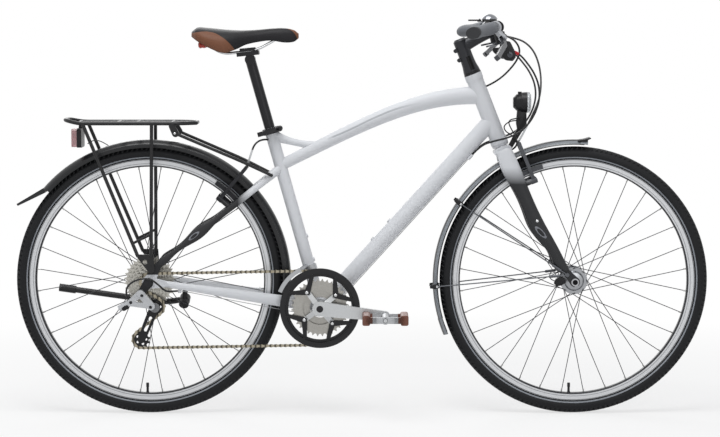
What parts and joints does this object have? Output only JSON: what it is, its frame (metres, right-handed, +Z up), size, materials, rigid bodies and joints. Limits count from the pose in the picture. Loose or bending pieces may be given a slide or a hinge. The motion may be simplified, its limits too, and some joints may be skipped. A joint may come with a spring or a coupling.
{
  "type": "hybrid bike",
  "caption": "Hybrid city bicycle with an arched top tube, rim brakes, derailleur gears, rear rack, fenders, lights and a kickstand.",
  "frame": {"origin": "on the ground, midway between the two axles, in the bicycle's middle plane", "axes": "+X forward, +Y to the rider's left, +Z up"},
  "size_m": [1.8059, 0.6202, 1.0438],
  "materials": {
    "white_paint": "gloss",
    "black_paint": "satin",
    "silver": "satin",
    "steel": "satin",
    "chain_steel": "satin",
    "dark_spoke": "satin",
    "chrome": "polished",
    "black_plastic": "matte",
    "pedal_body": "satin",
    "cable_black": "satin",
    "grip_grey": "matte",
    "saddle_black": "satin",
    "tyre_black": "matte",
    "clear_lens": "clear",
    "red_lens": "gloss"
  },
  "bodies": {
    "frame": {"head_tube": "white_paint", "top_tube": "white_paint", "down_tube": "white_paint", "seat_tube": "white_paint", "chainstays": "white_paint", "seatstays": "white_paint", "bearing_cups": "black_paint", "seat_clamp": "black_paint", "rear_fender": "black_plastic", "rear_rack": "black_paint", "rear_light": "black_plastic", "rear_light_lens": "red_lens", "rear_derailleur": "black_paint", "front_derailleur": "silver", "chain": "chain_steel", "frame_cables": "cable_black", "rear_axle": "silver"},
    "steering": {"fork": "white_paint", "stem": "black_paint", "handlebar": "black_paint", "grips": "grip_grey", "lever_brackets": "black_plastic", "bell": "chrome", "headlight": "chrome", "headlight_lens": "clear_lens", "front_fender": "black_plastic", "front_fender_stays": "steel", "fork_cables": "cable_black", "front_axle": "silver", "steering_cables": "cable_black"},
    "seat": {"seat_post": "black_paint", "saddle_rails": "silver", "saddle": "saddle_black"},
    "seat_lever": {"seat_qr_lever": "black_paint"},
    "front_wheel": {"front_tyre": "tyre_black", "front_rim": "silver", "front_spokes": "dark_spoke", "front_hub": "silver"},
    "rear_wheel": {"rear_tyre": "tyre_black", "rear_rim": "silver", "rear_spokes": "dark_spoke", "rear_hub": "silver"},
    "cassette": {"cassette": "steel"},
    "crankset": {"crank_arms": "silver", "outer_chainring": "black_paint", "inner_chainrings": "black_paint"},
    "right_pedal": {"right_pedal": "pedal_body"},
    "left_pedal": {"left_pedal": "pedal_body"},
    "guide_pulley": {"guide_pulley": "black_plastic"},
    "tension_pulley": {"tension_pulley": "black_plastic"},
    "right_brake_lever": {"right_brake_lever": "silver"},
    "left_brake_lever": {"left_brake_lever": "silver"},
    "right_shift_lever": {"right_shift_lever": "silver"},
    "left_shift_lever": {"left_shift_lever": "silver"},
    "bell_lever": {"bell_lever": "black_plastic"},
    "front_brake_right": {"front_brake_right": "black_paint"},
    "front_brake_left": {"front_brake_left": "black_paint"},
    "rear_brake_right": {"rear_brake_right": "black_paint"},
    "rear_brake_left": {"rear_brake_left": "black_paint"},
    "kickstand": {"kickstand": "black_paint"}
  },
  "joints": [
    {"name": "steering", "type": "hinge", "parent": "frame", "child": "steering", "pos_m": [0.35867, 0, 0.70827], "axis": [-0.3654, 0, 0.9309], "range_deg": [-60, 60], "deforming": ["steering_cables"]},
    {"name": "front_wheel_spin", "type": "hinge", "parent": "steering", "child": "front_wheel", "pos_m": [0.553, 0, 0.35], "axis": [0, 1, 0], "continuous": true},
    {"name": "rear_wheel_spin", "type": "hinge", "parent": "frame", "child": "rear_wheel", "pos_m": [-0.553, 0, 0.35], "axis": [0, 1, 0], "continuous": true},
    {"name": "crank_spin", "type": "hinge", "parent": "frame", "child": "crankset", "pos_m": [-0.109, 0, 0.283], "axis": [0, 1, 0], "continuous": true, "deforming": ["chain"]},
    {"name": "cassette_spin", "type": "hinge", "parent": "frame", "child": "cassette", "pos_m": [-0.553, 0, 0.35], "axis": [0, 1, 0], "continuous": true},
    {"name": "guide_pulley_spin", "type": "hinge", "parent": "frame", "child": "guide_pulley", "pos_m": [-0.536, 0, 0.286], "axis": [0, 1, 0], "continuous": true},
    {"name": "tension_pulley_spin", "type": "hinge", "parent": "frame", "child": "tension_pulley", "pos_m": [-0.57323, 0, 0.20078], "axis": [0, 1, 0], "continuous": true},
    {"name": "right_pedal_spin", "type": "hinge", "parent": "crankset", "child": "right_pedal", "pos_m": [0.05991, -0.134, 0.26376], "axis": [0, 1, 0], "continuous": true},
    {"name": "left_pedal_spin", "type": "hinge", "parent": "crankset", "child": "left_pedal", "pos_m": [-0.27791, 0.134, 0.30224], "axis": [0, 1, 0], "continuous": true},
    {"name": "left_brake_lever_pull", "type": "hinge", "parent": "steering", "child": "left_brake_lever", "pos_m": [0.35625, 0.16564, 0.98272], "axis": [0.7175, 0.3503, 0.6021], "range_deg": [0, 18], "stiffness_Nm_per_rad": 1},
    {"name": "right_brake_lever_pull", "type": "hinge", "parent": "steering", "child": "right_brake_lever", "pos_m": [0.35625, -0.16564, 0.98272], "axis": [-0.7175, 0.3503, -0.6021], "range_deg": [0, 18], "stiffness_Nm_per_rad": 1},
    {"name": "front_brake_left_swing", "type": "hinge", "parent": "steering", "child": "front_brake_left", "pos_m": [0.44661, 0.04, 0.61332], "axis": [0.9272, 0, 0.3746], "range_deg": [0, 2.85], "stiffness_Nm_per_rad": 0.3},
    {"name": "front_brake_right_swing", "type": "hinge", "parent": "steering", "child": "front_brake_right", "pos_m": [0.44661, -0.04, 0.61332], "axis": [-0.9272, 0, -0.3746], "range_deg": [0, 2.85], "stiffness_Nm_per_rad": 0.3},
    {"name": "rear_brake_left_swing", "type": "hinge", "parent": "frame", "child": "rear_brake_left", "pos_m": [-0.36867, 0.04, 0.56605], "axis": [0.7607, 0, -0.6491], "range_deg": [0, 2.85], "stiffness_Nm_per_rad": 0.3},
    {"name": "rear_brake_right_swing", "type": "hinge", "parent": "frame", "child": "rear_brake_right", "pos_m": [-0.36867, -0.04, 0.56605], "axis": [-0.7607, 0, 0.6491], "range_deg": [0, 2.85], "stiffness_Nm_per_rad": 0.3},
    {"name": "left_shift_lever_push", "type": "hinge", "parent": "steering", "child": "left_shift_lever", "pos_m": [0.35505, 0.12717, 0.97185], "axis": [-0.2363, -0.0651, 0.9695], "range_deg": [0, 25], "stiffness_Nm_per_rad": 0.2},
    {"name": "right_shift_lever_push", "type": "hinge", "parent": "steering", "child": "right_shift_lever", "pos_m": [0.35505, -0.12717, 0.97185], "axis": [0.2363, -0.0651, -0.9695], "range_deg": [0, 25], "stiffness_Nm_per_rad": 0.2},
    {"name": "bell_lever_flick", "type": "hinge", "parent": "steering", "child": "bell_lever", "pos_m": [0.30102, -0.094, 1.02568], "axis": [0, 0, 1], "range_deg": [0, 25], "stiffness_Nm_per_rad": 0.02},
    {"name": "kickstand_fold", "type": "hinge", "parent": "frame", "child": "kickstand", "pos_m": [-0.468, 0.062, 0.292], "axis": [-0.0879, -0.8362, -0.5413], "range_deg": [0, 113.5]},
    {"name": "seat_height", "type": "slide", "parent": "frame", "child": "seat", "axis": [-0.2714, 0, 0.9625], "range_m": [-0.1, 0.05]},
    {"name": "seat_lever_open", "type": "hinge", "parent": "frame", "child": "seat_lever", "pos_m": [-0.21387, -0.026, 0.74695], "axis": [-0.2714, 0, 0.9625], "range_deg": [0, 150]}
  ],
  "couplings": [
    {"joint": "cassette_spin", "follows": "crank_spin", "ratio": 4.3636},
    {"joint": "tension_pulley_spin", "follows": "crank_spin", "ratio": 4.3636},
    {"joint": "guide_pulley_spin", "follows": "crank_spin", "ratio": -4.3636},
    {"joint": "front_brake_right_swing", "follows": "left_brake_lever_pull", "ratio": 0.15556},
    {"joint": "rear_brake_right_swing", "follows": "right_brake_lever_pull", "ratio": 0.15556},
    {"joint": "front_brake_left_swing", "follows": "left_brake_lever_pull", "ratio": 0.15556},
    {"joint": "rear_brake_left_swing", "follows": "right_brake_lever_pull", "ratio": 0.15556}
  ]
}
